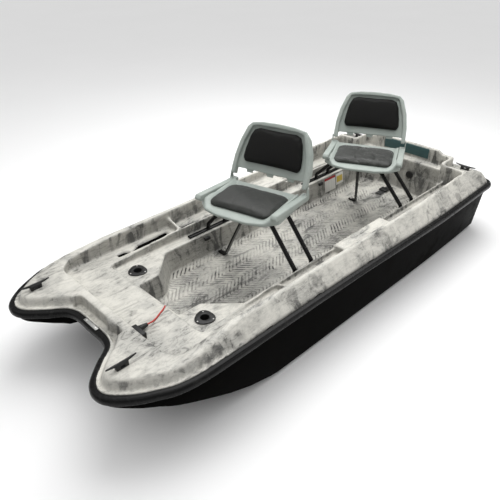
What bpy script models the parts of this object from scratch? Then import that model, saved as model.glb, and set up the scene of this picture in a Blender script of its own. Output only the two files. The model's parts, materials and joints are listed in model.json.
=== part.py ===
"""A two-seat fishing boat with a twin hull, moulded deck and two folding swivel seats.

Metres, +Z up, the bow towards -Y, port towards +X. The origin is on the floor under the
middle of the boat, which stands on the flat bottoms of its two sponsons.
"""

import math

import bmesh
import bpy
from mathutils import Matrix, Vector

for old in list(bpy.data.objects):
    bpy.data.objects.remove(old, do_unlink=True)

# Driving dimensions: overall
LENGTH = 3.16
BEAM = 1.334
GAP = 0.0003
BOW = -LENGTH / 2
STERN = LENGTH / 2

# Rub rail
RAIL_TOP = 0.386
RAIL_HEIGHT = 0.038
RAIL_DEPTH = 0.030

# Bow notch and noses, in plan
NOTCH_DEPTH = 0.202
NOTCH_HALF = 0.132
NOSE_X = 0.386
FORE_NARROWING = 0.030
STERN_NARROWING = 0.012
STERN_CORNER = 0.095

# Deck levels
NOSE_DECK = 0.433
COAMING_FORE = 0.470
COAMING_MID = 0.480
COAMING_AFT = 0.515
CORNER_DECK = 0.455
TRAY_LEVEL = 0.367
LEDGE_LEVEL = 0.329
FLOOR_LEVEL = 0.180
LINER_WALL = 0.009
SIDE_SLOPE = 0.80

# Deck plan
STEP_Y = -1.255
CROSSBAR_FRONT = -1.300
CROSSBAR_HALF = 0.190
STRIP_LEVEL = 0.392
BAY_LEVEL = 0.364
BAY_HALF = 0.180
BAY_FLANGE = 0.012
PLATFORM_AFT = -1.007
COAMING_INNER = 0.506
COAMING_SPREAD = 0.020
FRONT_POCKET_HALF = 0.505
LIP_X = 0.392
LIP_THICK = 0.014
LIP_TOP = 0.396
RIB_Y = -0.510
WELL_TOP = 0.333
WELL_DRAFT = 0.022
WELL_NECK = 0.176
WELL_FRONT = -0.980
NECK_Y = -0.845
SHOULDER_Y = -0.680
POCKET_AFT = 1.262
CORNER_LIP = 0.022
TRANSOM_HALF = 0.355
TRANSOM_CENTRE_HALF = 0.258
TRANSOM_FACE = 1.400
TRANSOM_TOP = 0.552
TRANSOM_SHOULDER = 0.530
TRANSOM_THICK = 0.036
BULKHEAD_FACE = 1.345
BULKHEAD_TOP = 0.440
PAD_BLOCK_TOP = 0.420
PAD_BLOCK_START = -0.020
PAD_BLOCK_LENGTH = 0.470

# Battery bay
BATTERY_PANEL = (0.300, 0.190, 0.012)
BATTERY_CENTRE = (-0.030, 1.215)
STRAP_WIDTH = 0.050
STRAP_THICK = 0.004

# Lower hull
TUNNEL_HALF = 0.270
TUNNEL_ROOF = 0.135
HULL_DRAFT = 0.013
AFT_DRAFT = 0.022
CHINE = 0.028
STERN_RISE = 0.048

# Fittings
CLEAT_LENGTH = 0.150
CLEAT_HEIGHT = 0.034
BOW_CLEAT = (0.385, -1.432)
STERN_CLEAT = (0.465, 1.440)
CUP_X = 0.288
CUP_Y = -0.905
CUP_FLANGE = 0.056
CUP_BORE = 0.024
CUP_DEPTH = 0.110
FLANGE_THICK = 0.006
DRAIN_RADIUS = 0.018
HOSE_HOLE_X = 0.095
HOSE_HOLE_Z = 0.329
HOSE_FITTING_RADIUS = 0.030

# Seat frames
TUBE = 0.026
TUBE_SPACING = 0.140
FRAME_RAIL_WIDTH = 0.028
FRAME_RAIL_HEIGHT = 0.012
FRAME_RAIL_LENGTH = 0.460
FRAME_X = 0.3625
KNEE_X = 0.160
PLATE_SIZE = (0.190, 0.200, 0.005)
LEG_WIDTH = 0.030
LEG_THICK = 0.010
FOOT_LENGTH = 0.055

# Seats
SEAT_WIDTH = 0.512
SEAT_DEPTH = 0.388
HINGE_RISE = 0.075
ARM_WIDTH = 0.040
PAN_THICK = 0.022
CUSHION_HEIGHT = 0.030
SWIVEL_HEIGHT = 0.024
SWIVEL_RADIUS = 0.070
BACK_RECLINE = math.radians(24.0)
BACK_HEIGHT = 0.318
BACK_TOP_HALF = 0.190
BACK_CUSHION_HEIGHT = 0.026
LUG_THICK = 0.007
HINGE_SIDE_CLEARANCE = 0.003
ARM_DROP = 0.036

# Each seat: frame centre along the boat, plate height, rest swivel angle, how far the
# pan sits forward of its swivel, and where the floor leg's foot stands
SEATS = {
    "front": dict(y=-0.245, plate=0.617, turn=14.6, forward=0.058, foot=(-0.262, -0.285)),
    "rear": dict(y=0.835, plate=0.589, turn=27.6, forward=0.095, foot=(-0.120, 0.925)),
}


def material(name, colour, roughness, metallic=0.0):
    made = bpy.data.materials.get(name) or bpy.data.materials.new(name)
    made.use_nodes = True
    shader = made.node_tree.nodes["Principled BSDF"]
    shader.inputs["Base Color"].default_value = (*colour, 1.0)
    shader.inputs["Roughness"].default_value = roughness
    shader.inputs["Metallic"].default_value = metallic
    made.diffuse_color = (*colour, 1.0)
    return made


FINISH = {
    "hull_black": ((0.012, 0.012, 0.010), 0.45, 0.0),
    "deck_marble": ((0.62, 0.61, 0.55), 0.50, 0.0),
    "rail_black": ((0.030, 0.032, 0.032), 0.35, 0.0),
    "nylon_black": ((0.015, 0.015, 0.015), 0.45, 0.0),
    "seat_shell": ((0.42, 0.47, 0.44), 0.45, 0.0),
    "vinyl_black": ((0.030, 0.032, 0.030), 0.40, 0.0),
    "frame_black": ((0.010, 0.010, 0.010), 0.30, 0.4),
    "zinc": ((0.55, 0.55, 0.53), 0.30, 1.0),
    "pad_teal": ((0.045, 0.080, 0.080), 0.50, 0.0),
    "label_white": ((0.75, 0.75, 0.72), 0.50, 0.0),
    "label_yellow": ((0.80, 0.60, 0.06), 0.50, 0.0),
    "webbing_black": ((0.012, 0.012, 0.012), 0.80, 0.0),
    "wire_red": ((0.35, 0.05, 0.05), 0.45, 0.0),
}


def finish(obj, name):
    obj.data.materials.clear()
    obj.data.materials.append(material(name, *FINISH[name]))
    return obj


def from_bmesh(name, bm, look, parent=None, location=(0, 0, 0), smooth=False):
    bmesh.ops.recalc_face_normals(bm, faces=bm.faces)
    mesh = bpy.data.meshes.new(name)
    bm.to_mesh(mesh)
    bm.free()
    if smooth:
        mesh.shade_smooth()
        mesh.set_sharp_from_angle(angle=math.radians(35))
    obj = bpy.data.objects.new(name, mesh)
    bpy.context.collection.objects.link(obj)
    obj.location = location
    obj.parent = parent
    if look:
        finish(obj, look)
    return obj


def empty(name, location, turn=(0, 0, 0), parent=None):
    obj = bpy.data.objects.new(name, None)
    bpy.context.collection.objects.link(obj)
    obj.location = location
    obj.rotation_euler = turn
    obj.parent = parent
    return obj


def box_mesh(low, high, bm=None):
    bm = bm or bmesh.new()
    size = [h - l for l, h in zip(low, high)]
    middle = [(h + l) / 2 for l, h in zip(low, high)]
    place = Matrix.Translation(middle) @ Matrix.Diagonal((*size, 1.0))
    bmesh.ops.create_cube(bm, size=1.0, matrix=place)
    return bm


def slab(outline, low, high):
    """A closed solid between two copies of an outline; low and high are heights or functions of a point."""
    bm = bmesh.new()
    level = lambda height, p: height(p) if callable(height) else height
    bottom = [bm.verts.new((*p, level(low, p))) for p in outline]
    top = [bm.verts.new((*p, level(high, p))) for p in outline]
    for i in range(len(outline)):
        j = (i + 1) % len(outline)
        bm.faces.new((bottom[i], bottom[j], top[j], top[i]))
    bm.faces.new(bottom[::-1])
    bm.faces.new(top)
    return bm


def rings_solid(rings):
    """A closed solid through rings of points that all have the same count."""
    bm = bmesh.new()
    rows = [[bm.verts.new(p) for p in ring] for ring in rings]
    for lower, upper in zip(rows[:-1], rows[1:]):
        for i in range(len(lower)):
            j = (i + 1) % len(lower)
            bm.faces.new((lower[i], lower[j], upper[j], upper[i]))
    bm.faces.new(rows[0][::-1])
    bm.faces.new(rows[-1])
    return bm


def soften(bm, width, segments=2, vertical_only=False):
    edges = list(bm.edges)
    if vertical_only:
        edges = [e for e in edges if abs((e.verts[0].co - e.verts[1].co).normalized().z) > 0.9]
    bmesh.ops.bevel(
        bm, geom=edges, offset=width, affect="EDGES", segments=segments, profile=0.5,
        material=-1, clamp_overlap=True,
    )
    return bm


def round_disc(centre, radius, low, high, sides=20, bm=None):
    bm = bm or bmesh.new()
    place = Matrix.Translation((centre[0], centre[1], (low + high) / 2))
    bmesh.ops.create_cone(
        bm, cap_ends=True, segments=sides, radius1=radius, radius2=radius,
        depth=high - low, matrix=place,
    )
    return bm


def cut(obj, tool_bm, label, operation="DIFFERENCE"):
    tool = from_bmesh(f"{obj.name}_{label}", tool_bm, None, parent=obj.parent)
    tool.hide_render = True
    tool.display_type = "WIRE"
    step = obj.modifiers.new(label, "BOOLEAN")
    step.object = tool
    step.operation = operation
    step.solver = "EXACT"
    return step


def tube(name, points, radius, look, parent=None, resolution=2):
    curve = bpy.data.curves.new(name, "CURVE")
    curve.dimensions = "3D"
    curve.bevel_depth = radius
    curve.bevel_resolution = resolution
    curve.use_fill_caps = True
    curve.render_resolution_u = 0
    line = curve.splines.new("POLY")
    line.points.add(len(points) - 1)
    for point, place in zip(line.points, points):
        point.co = (*place, 1.0)
    obj = bpy.data.objects.new(name, curve)
    bpy.context.collection.objects.link(obj)
    obj.parent = parent
    return finish(obj, look)


def smooth_curve(points, count):
    """Points along a Catmull-Rom curve through the given ones."""
    padded = [points[0], *points, points[-1]]
    found = []
    spans = len(points) - 1
    for k in range(count + 1):
        place = spans * k / count
        i = min(int(place), spans - 1)
        t = place - i
        a, b, c, d = [Vector(p) for p in padded[i : i + 4]]
        found.append(
            0.5 * (2 * b + (c - a) * t + (2 * a - 5 * b + 4 * c - d) * t * t
                   + (3 * b - a - 3 * c + d) * t ** 3)
        )
    return found


def rounded_path(points, radius, steps=4):
    """A polyline whose corners are arcs of the given radius."""
    found = [Vector(points[0])]
    for before, corner, after in zip(points[:-2], points[1:-1], points[2:]):
        before, corner, after = Vector(before), Vector(corner), Vector(after)
        u, v = (before - corner).normalized(), (after - corner).normalized()
        half = u.angle(v) / 2
        reach = radius / math.tan(half)
        centre = corner + (u + v).normalized() * (radius / math.sin(half))
        start, end = corner + u * reach - centre, corner + v * reach - centre
        for k in range(steps + 1):
            found.append(centre + start.normalized().slerp(end.normalized(), k / steps) * radius)
    found.append(Vector(points[-1]))
    return found


# ---------------------------------------------------------------- plan outline

def half_outline():
    """The rail's outer edge in plan from the notch's middle round the port nose to the stern."""
    side = BEAM / 2
    fore = side - FORE_NARROWING
    back = lambda share: NOTCH_HALF + share * (NOSE_X - NOTCH_HALF)
    out = lambda share: NOSE_X + share * (fore - NOSE_X)
    nose = [
        (0.0, NOTCH_DEPTH), (NOTCH_HALF * 0.62, NOTCH_DEPTH + 0.001), (NOTCH_HALF, NOTCH_DEPTH - 0.004),
        (back(0.15), 0.182), (back(0.26), 0.152), (back(0.35), 0.119), (back(0.51), 0.072),
        (back(0.69), 0.027), (back(0.85), 0.006), (NOSE_X, 0.0), (out(0.19), 0.011),
        (out(0.38), 0.048), (out(0.59), 0.112), (out(0.75), 0.184), (out(0.90), 0.267),
        (out(0.98), 0.390), (fore, 0.560), (fore, 0.780),
    ]
    curve = [tuple(p) for p in smooth_curve([(x, BOW + y, 0.0) for x, y in nose], 51)]
    sides = [(fore + 0.002, -0.45), (fore + 0.010, 0.0), (fore + 0.023, 0.45), (side, 0.80),
             (side - 0.003, 1.05), (side - 0.007, POCKET_AFT), (side - 0.008, POCKET_AFT + CORNER_LIP)]
    corner, stern_side = STERN_CORNER, side - STERN_NARROWING
    arc = [
        (stern_side - corner + corner * math.cos(a), STERN - corner + corner * math.sin(a))
        for a in (math.radians(k * 18) for k in range(6))
    ]
    return [(x, max(y, BOW)) for x, y, _ in curve] + sides + arc


def full_outline():
    port = half_outline()
    starboard = [(-x, y) for x, y in port[1:]][::-1]
    return port + starboard


PLAN = full_outline()


def plan_normals():
    found = []
    for i, here in enumerate(PLAN):
        before, after = PLAN[i - 1], PLAN[(i + 1) % len(PLAN)]
        u = Vector((here[0] - before[0], here[1] - before[1])).normalized()
        v = Vector((after[0] - here[0], after[1] - here[1])).normalized()
        way = u + v
        normal = Vector((-way.y, way.x)).normalized()
        found.append(normal / max(0.5, normal.dot(Vector((-u.y, u.x)))))
    return found


NORMALS = plan_normals()


def inset(distance):
    """The plan outline moved inwards; distance is a number or a function of y."""
    step = (lambda y: distance(y)) if callable(distance) else (lambda y: distance)
    return [(p[0] + n.x * step(p[1]), p[1] + n.y * step(p[1])) for p, n in zip(PLAN, NORMALS)]


# The outline runs anticlockwise seen from above, so its left side is the inside.

def top_of(y):
    """The height of the deck's outer top edge along the boat."""
    stations = [
        (STEP_Y, NOSE_DECK), (-0.930, COAMING_FORE), (0.0, COAMING_MID),
        (0.80, COAMING_MID + 0.011), (POCKET_AFT, COAMING_AFT),
        (POCKET_AFT + CORNER_LIP, COAMING_AFT), (STERN - 0.13, CORNER_DECK),
    ]
    if y <= stations[0][0]:
        return stations[0][1]
    for (y0, z0), (y1, z1) in zip(stations[:-1], stations[1:]):
        if y <= y1:
            return z0 + (z1 - z0) * (y - y0) / (y1 - y0)
    return stations[-1][1]


WALL_INSET = RAIL_DEPTH + GAP
WALL_FOOT = RAIL_TOP + 0.002


def top_inset(y):
    return WALL_INSET + 0.002 + SIDE_SLOPE * (top_of(y) - WALL_FOOT)


def pocket_outline(inner, front, aft, front_half, corner=0.09):
    """A pocket whose front corners are round, wide in front and narrowing to the trays."""
    port = [(front_half - corner, front)]
    for k in range(1, 5):
        a = math.radians(90 * k / 4)
        port.append((front_half - corner + corner * math.sin(a), front + corner - corner * math.cos(a)))
    port += [(inner, NECK_Y + 0.05), (inner + COAMING_SPREAD, 0.45), (inner + COAMING_SPREAD, aft)]
    return [(-x, y) for x, y in port[::-1]] + port


# ---------------------------------------------------------------- lower hull

def make_hull():
    hull_top = RAIL_TOP - RAIL_HEIGHT + 0.0037
    draft = lambda y: HULL_DRAFT + AFT_DRAFT * min(1.0, max(0.0, (y + 0.45) / 1.25))
    outer = [(p[0], p[1], hull_top) for p in inset(WALL_INSET + 0.002)]
    low = [(p[0], p[1], CHINE) for p in inset(lambda y: WALL_INSET + draft(y))]
    bottom = [(p[0], p[1], 0.0) for p in inset(lambda y: WALL_INSET + draft(y) + CHINE * 0.6)]
    bm = rings_solid([bottom, low, outer])
    hull = from_bmesh("hull_shell", bm, "hull_black")

    rocker = [(BOW - 0.2, -0.1), (BOW - 0.2, 0.330), (BOW + 0.03, 0.312), (BOW + 0.10, 0.302),
              (-1.38, 0.281), (-1.28, 0.248), (-1.20, 0.215), (-1.14, 0.187), (-1.02, 0.128),
              (-0.887, 0.075), (-0.744, 0.036), (-0.60, 0.012), (-0.46, 0.0), (-0.45, -0.1)]
    cut(hull, profile_prism(rocker, -BEAM, BEAM), "rocker")
    rise = [(0.55, -0.1), (0.56, 0.0), (STERN + 0.2, STERN_RISE), (STERN + 0.2, -0.1)]
    cut(hull, profile_prism(rise, -BEAM, BEAM), "stern_rise")

    roof = [(BOW - 0.3, -0.1), (BOW - 0.3, 0.335), (-1.33, 0.318), (-1.20, 0.258), (-1.08, 0.180),
            (-0.98, 0.144), (-0.75, TUNNEL_ROOF), (STERN + 0.2, TUNNEL_ROOF), (STERN + 0.2, -0.1)]
    cut(hull, profile_prism(roof, -TUNNEL_HALF, TUNNEL_HALF, taper=0.25), "tunnel")

    space = LINER_WALL + GAP
    cut(hull, well_solid(space, FLOOR_LEVEL - space, LEDGE_LEVEL + 0.1), "well_space")
    ledge = LEDGE_LEVEL - space
    cut(hull, slab(ledge_outline(space), ledge, ledge + 0.2), "ledge_space")
    for side in (-1, 1):
        bore = round_disc((side * CUP_X, CUP_Y), CUP_BORE + 0.006, LEDGE_LEVEL - CUP_DEPTH - 0.006,
                          LEDGE_LEVEL + 0.1)
        cut(hull, bore, f"cup_bore_{'port' if side > 0 else 'starboard'}")
    return hull


def profile_prism(profile, low_x, high_x, taper=0.0):
    """A side profile in (y, z) carried across the boat; taper draws the sides in with height."""
    bm = bmesh.new()
    rows = []
    for x in (low_x, high_x):
        sign = -1 if x < 0 else 1
        rows.append([bm.verts.new((x - sign * taper * z, y, z)) for y, z in profile])
    for i in range(len(profile)):
        j = (i + 1) % len(profile)
        bm.faces.new((rows[0][i], rows[0][j], rows[1][j], rows[1][i]))
    bm.faces.new(rows[0][::-1])
    bm.faces.new(rows[1])
    return bm


def ledge_outline(spread):
    """The cockpit at the ledges' level, narrower between the corner decks, spread outwards."""
    lip, bay = LIP_X + spread, TRANSOM_HALF - 0.001 + spread
    port = [(lip, PLATFORM_AFT - spread), (lip, POCKET_AFT - 0.02 + spread),
            (bay, POCKET_AFT - 0.02 + spread), (bay, BULKHEAD_FACE + spread)]
    return port + [(-x, y) for x, y in port[::-1]]


def well_solid(spread, low, high):
    """The cockpit well between two heights, its sides spread outwards by a wall's thickness."""
    def ring(z):
        draft = WELL_DRAFT * (z - LEDGE_LEVEL) / (LEDGE_LEVEL - FLOOR_LEVEL)
        neck = WELL_NECK + draft + spread
        side = WELL_TOP + draft + spread
        port = [
            (neck, WELL_FRONT - draft - spread), (neck, NECK_Y - draft - spread * 0.5),
            (side, SHOULDER_Y - draft - spread * 0.5), (side, BULKHEAD_FACE - 0.004 + draft + spread),
        ]
        return [(x, y, z) for x, y in port] + [(-x, y, z) for x, y in port[::-1]]
    return rings_solid([ring(low), ring(high)])


# ---------------------------------------------------------------- deck liner

def make_liner():
    foot = RAIL_TOP - RAIL_HEIGHT + 0.004
    rings = [
        [(p[0], p[1], foot) for p in inset(WALL_INSET)],
        [(p[0], p[1], WALL_FOOT) for p in inset(WALL_INSET)],
        [(p[0], p[1], top_of(q[1])) for p, q in zip(inset(top_inset), PLAN)],
    ]
    bm = bmesh.new()
    rows = [[bm.verts.new(p) for p in ring] for ring in rings]
    count = len(PLAN)
    for lower, upper in zip(rows[:-1], rows[1:]):
        for i in range(count):
            j = (i + 1) % count
            bm.faces.new((lower[i], lower[j], upper[j], upper[i]))
    bm.faces.new(rows[0][::-1])
    top = rows[-1]
    half = len(half_outline())
    after_step = next(i for i in range(20, half) if PLAN[i][1] > STEP_Y) - 1
    mirror_of = lambda i: (count - i) % count
    nose = top[: after_step + 1] + [top[k] for k in range(mirror_of(after_step), count)]
    bm.faces.new(nose)
    for i in range(after_step, half - 1):
        bm.faces.new((top[i], top[i + 1], top[mirror_of(i + 1)], top[mirror_of(i)]))
    bm.normal_update()
    bmesh.ops.triangulate(bm, faces=bm.faces)
    liner = from_bmesh("deck_liner", bm, "deck_marble")

    under = foot + 0.01
    cut(liner, well_solid(LINER_WALL, FLOOR_LEVEL - LINER_WALL, under), "well_outside", "UNION")
    ledge = LEDGE_LEVEL - LINER_WALL
    cut(liner, slab(ledge_outline(LINER_WALL), ledge, under), "ledge_outside", "UNION")
    wall_half = TRANSOM_HALF + CORNER_LIP
    transom = box_mesh((-wall_half, POCKET_AFT + 0.004, CORNER_DECK - 0.05),
                       (wall_half, TRANSOM_FACE + TRANSOM_THICK, TRANSOM_SHOULDER))
    cut(liner, transom, "transom", "UNION")
    shoulder = TRANSOM_CENTRE_HALF + 0.040
    crown = upright([(-shoulder, CORNER_DECK - 0.04), (shoulder, CORNER_DECK - 0.04),
                     (shoulder, TRANSOM_SHOULDER - 0.004), (TRANSOM_CENTRE_HALF, TRANSOM_TOP),
                     (-TRANSOM_CENTRE_HALF, TRANSOM_TOP), (-shoulder, TRANSOM_SHOULDER - 0.004)],
                    TRANSOM_FACE - 0.02, TRANSOM_FACE + TRANSOM_THICK - 0.002)
    cut(liner, crown, "transom_crown", "UNION")

    above = TRANSOM_TOP + 0.1
    pocket = slab(pocket_outline(COAMING_INNER, STEP_Y, POCKET_AFT, FRONT_POCKET_HALF),
                  TRAY_LEVEL, above)
    cut(liner, pocket, "tray_pocket")
    cut(liner, slab(ledge_outline(0.0), LEDGE_LEVEL, above + 0.01), "ledge_pocket")
    cut(liner, well_solid(0.0, FLOOR_LEVEL, LEDGE_LEVEL + 0.008), "well")
    cut(liner, box_mesh((-TRANSOM_HALF, POCKET_AFT - 0.10, BULKHEAD_TOP),
                        (TRANSOM_HALF, TRANSOM_FACE, above + 0.02)), "transom_bay")
    notch_front = slab([(-CROSSBAR_HALF, CROSSBAR_FRONT), (-CROSSBAR_HALF - 0.05, BOW - 0.1),
                        (CROSSBAR_HALF + 0.05, BOW - 0.1), (CROSSBAR_HALF, CROSSBAR_FRONT)],
                       STRIP_LEVEL, NOSE_DECK + 0.1)
    cut(liner, notch_front, "bow_strip")
    flange = inset(WALL_INSET + BAY_FLANGE)
    reach = max(i for i in range(half) if abs(PLAN[i][0]) <= BAY_HALF and PLAN[i][1] < STEP_Y)
    bay = [flange[mirror_of(i)] for i in range(reach, 0, -1)] + [flange[i] for i in range(reach + 1)]
    bay += [(CROSSBAR_HALF - 0.004, CROSSBAR_FRONT), (-CROSSBAR_HALF + 0.004, CROSSBAR_FRONT)]
    cut(liner, slab(bay, BAY_LEVEL, NOSE_DECK + 0.11), "bow_bay")
    boss = box_mesh((0.066, CROSSBAR_FRONT - 0.012, BAY_LEVEL - 0.004),
                    (0.114, CROSSBAR_FRONT + 0.012, NOSE_DECK + 0.004))
    cut(liner, boss, "crossbar_boss", "UNION")
    for side, word in ((-1, "starboard"), (1, "port")):
        xs = sorted((side * wall_half, side * (COAMING_INNER + 0.022)))
        corner = box_mesh((xs[0], POCKET_AFT + CORNER_LIP, CORNER_DECK), (xs[1], STERN + 0.1, above))
        cut(liner, corner, f"corner_deck_{word}")
        xs = sorted((side * LIP_X, side * (LIP_X + LIP_THICK)))
        lip = [(PLATFORM_AFT, TRAY_LEVEL - 0.01), (PLATFORM_AFT, TRAY_LEVEL + 0.001), (RIB_Y - 0.10, LIP_TOP),
               (POCKET_AFT + 0.006, LIP_TOP), (POCKET_AFT + 0.006, TRAY_LEVEL - 0.01)]
        cut(liner, profile_prism(lip, *xs), f"tray_lip_{word}", "UNION")
        xs = sorted((side * (LIP_X + 0.002), side * (COAMING_INNER + COAMING_SPREAD + 0.01)))
        block = box_mesh((xs[0], PAD_BLOCK_START, TRAY_LEVEL - 0.012),
                         (xs[1], PAD_BLOCK_START + PAD_BLOCK_LENGTH, PAD_BLOCK_TOP))
        cut(liner, block, f"pad_block_{word}", "UNION")
        xs = sorted((side * (LIP_X + 0.003), side * (COAMING_INNER + 0.012)))
        rib = upright([(xs[0], TRAY_LEVEL - 0.008), (xs[1], TRAY_LEVEL - 0.008),
                       *([(xs[1], LIP_TOP + 0.040), (xs[0], LIP_TOP + 0.004)] if side > 0 else
                         [(xs[1], LIP_TOP + 0.004), (xs[0], LIP_TOP + 0.040)])], RIB_Y - 0.010, RIB_Y + 0.010)
        cut(liner, rib, f"tray_rib_{word}", "UNION")
        bore = round_disc((side * CUP_X, CUP_Y), CUP_BORE + 0.006, LEDGE_LEVEL - 0.05, LEDGE_LEVEL + 0.05)
        cut(liner, bore, f"cup_bore_{word}")
    width, depth, height = BATTERY_PANEL
    x, y = BATTERY_CENTRE
    panel = box_mesh((x - width / 2, y - depth / 2, FLOOR_LEVEL - 0.005),
                     (x + width / 2, y + depth / 2, FLOOR_LEVEL + height))
    cut(liner, panel, "battery_panel", "UNION")
    return liner


# ---------------------------------------------------------------- rail and fittings

def make_rail():
    low = RAIL_TOP - RAIL_HEIGHT
    lip = 0.005
    section = [(RAIL_DEPTH, low), (lip, low), (0.0, low + 0.006), (0.0, RAIL_TOP - 0.016),
               (lip, RAIL_TOP - 0.006), (0.012, RAIL_TOP - 0.002), (RAIL_DEPTH, RAIL_TOP)]
    bm = bmesh.new()
    rows = [[bm.verts.new((*p, z)) for p in inset(d)] for d, z in section]
    count = len(PLAN)
    for k, row in enumerate(rows):
        after = rows[(k + 1) % len(rows)]
        for i in range(count):
            j = (i + 1) % count
            bm.faces.new((row[i], row[j], after[j], after[i]))
    return from_bmesh("rub_rail", bm, "rail_black", smooth=True)


def make_bow_plate():
    """A small flat plate on top of the rail, in the middle of the bow notch."""
    width, depth, thick = 0.110, 0.018, 0.004
    aft = BOW + NOTCH_DEPTH + RAIL_DEPTH - 0.001
    low = RAIL_TOP + GAP
    bm = soften(box_mesh((-width / 2, aft - depth, low), (width / 2, aft, low + thick)), 0.0015, 1)
    return from_bmesh("bow_plate", bm, "nylon_black")


def make_cleat(name, place, level, along_y=True):
    """A two-horn cleat: a foot, two posts and a tapered bar."""
    half = CLEAT_LENGTH / 2
    bm = bmesh.new()
    bar = [(-half, CLEAT_HEIGHT - 0.004, 0.004), (-half * 0.45, CLEAT_HEIGHT - 0.009, 0.007),
           (half * 0.45, CLEAT_HEIGHT - 0.009, 0.007), (half, CLEAT_HEIGHT - 0.004, 0.004)]
    rings = []
    for t, z, r in bar:
        rings.append([bm.verts.new((r * math.cos(a), t, z + r * math.sin(a)))
                      for a in (math.radians(45 * k) for k in range(8))])
    for lower, upper in zip(rings[:-1], rings[1:]):
        for i in range(8):
            j = (i + 1) % 8
            bm.faces.new((lower[i], lower[j], upper[j], upper[i]))
    bm.faces.new(rings[0][::-1])
    bm.faces.new(rings[-1])
    cleat = from_bmesh(name, bm, "nylon_black", location=(*place, level + GAP), smooth=True)
    if not along_y:
        cleat.rotation_euler.z = math.radians(90)
    foot = bmesh.new()
    box_mesh((-0.011, -0.030, 0.0), (0.011, 0.030, CLEAT_HEIGHT - 0.010), foot)
    tool = cut(cleat, foot, "foot", "UNION").object
    tool.parent = cleat
    gap = cut(cleat, box_mesh((-0.02, -0.012, 0.006), (0.02, 0.012, CLEAT_HEIGHT - 0.018)), "throat").object
    gap.parent = cleat
    return cleat


def make_cup(name, side):
    """A flush rod holder: a rounded three-cornered flange and a round cup under it."""
    corners = []
    for k in range(24):
        a = math.radians(15 * k)
        reach = CUP_FLANGE * (0.93 + 0.07 * math.cos(3 * (a - math.radians(30))))
        corners.append((side * CUP_X + reach * math.cos(a), CUP_Y + reach * math.sin(a)))
    level = LEDGE_LEVEL + GAP
    bm = slab(corners, level, level + FLANGE_THICK)
    cup = from_bmesh(name, bm, "nylon_black", smooth=True)
    centre = (side * CUP_X, CUP_Y)
    cut(cup, round_disc(centre, CUP_BORE + 0.004, level - CUP_DEPTH, level + 0.002), "tube", "UNION")
    cut(cup, round_disc(centre, CUP_BORE, level - CUP_DEPTH + 0.005, level + 0.02), "bore")
    return cup


def make_transom_pieces():
    pad_low, pad_high, pad_half = 0.468, TRANSOM_TOP - 0.008, 0.190
    y = TRANSOM_FACE - GAP
    bm = soften(box_mesh((-pad_half, y - 0.006, pad_low), (pad_half, y, pad_high)), 0.002, 1)
    from_bmesh("transom_pad", bm, "pad_teal")
    outer_y = TRANSOM_FACE + TRANSOM_THICK + GAP
    bm = soften(box_mesh((-pad_half, outer_y, pad_low), (pad_half, outer_y + 0.006, pad_high)), 0.002, 1)
    from_bmesh("transom_outer_pad", bm, "pad_teal")
    turn = Matrix.Rotation(math.radians(90), 4, "X")
    bm = bmesh.new()
    lean = WELL_DRAFT * HOSE_FITTING_RADIUS / (LEDGE_LEVEL - FLOOR_LEVEL)
    place = Matrix.Translation((HOSE_HOLE_X, BULKHEAD_FACE - 0.008 - lean - GAP, HOSE_HOLE_Z)) @ turn
    bmesh.ops.create_cone(bm, cap_ends=True, segments=20, radius1=HOSE_FITTING_RADIUS,
                          radius2=HOSE_FITTING_RADIUS * 0.9, depth=0.008, matrix=place)
    fitting = from_bmesh("cable_grommet", bm, "nylon_black", smooth=True)
    hole = bmesh.new()
    bmesh.ops.create_cone(hole, cap_ends=True, segments=16, radius1=0.020, radius2=0.020, depth=0.004,
                          matrix=Matrix.Translation((0, -0.005, 0)) @ place)
    cut(fitting, hole, "recess")
    bm = bmesh.new()
    stern_wall = STERN - WALL_INSET - HULL_DRAFT * 0.55
    place = Matrix.Translation((0.42, stern_wall + 0.016, 0.09)) @ turn
    bmesh.ops.create_cone(bm, cap_ends=True, segments=16, radius1=DRAIN_RADIUS, radius2=DRAIN_RADIUS,
                          depth=0.012, matrix=place)
    from_bmesh("drain_plug", bm, "nylon_black", smooth=True)


def make_battery_strap():
    x, y = BATTERY_CENTRE
    top = FLOOR_LEVEL + BATTERY_PANEL[2] + GAP
    half = BATTERY_PANEL[1] / 2 - 0.005
    bm = box_mesh((x - STRAP_WIDTH / 2, y - half, top), (x + STRAP_WIDTH / 2, y + half, top + STRAP_THICK))
    from_bmesh("battery_strap", bm, "webbing_black")
    buckle_top = top + STRAP_THICK + GAP
    bm = soften(box_mesh((x - 0.034, y - 0.030, buckle_top), (x + 0.034, y + 0.030, buckle_top + 0.012)),
                0.003, 1)
    from_bmesh("strap_buckle", bm, "nylon_black")


def make_labels():
    """Blank plates on the starboard wall of the well."""
    slope = WELL_DRAFT / (LEDGE_LEVEL - FLOOR_LEVEL)
    for name, low_y, width, low_z, high_z, look in (
        ("capacity_plate", 0.830, 0.128, 0.205, 0.312, "label_white"),
        ("caution_plate", 0.968, 0.090, 0.225, 0.312, "label_yellow"),
    ):
        thick = 0.0015
        bm = bmesh.new()
        face = lambda z: -WELL_TOP + slope * (LEDGE_LEVEL - z) + GAP
        rows = [[bm.verts.new((face(z) + out, y, z)) for y, z in
                 ((low_y, low_z), (low_y + width, low_z), (low_y + width, high_z), (low_y, high_z))]
                for out in (0.0, thick)]
        for i in range(4):
            j = (i + 1) % 4
            bm.faces.new((rows[0][i], rows[0][j], rows[1][j], rows[1][i]))
        bm.faces.new(rows[0][::-1])
        bm.faces.new(rows[1])
        from_bmesh(name, bm, look)


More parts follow.
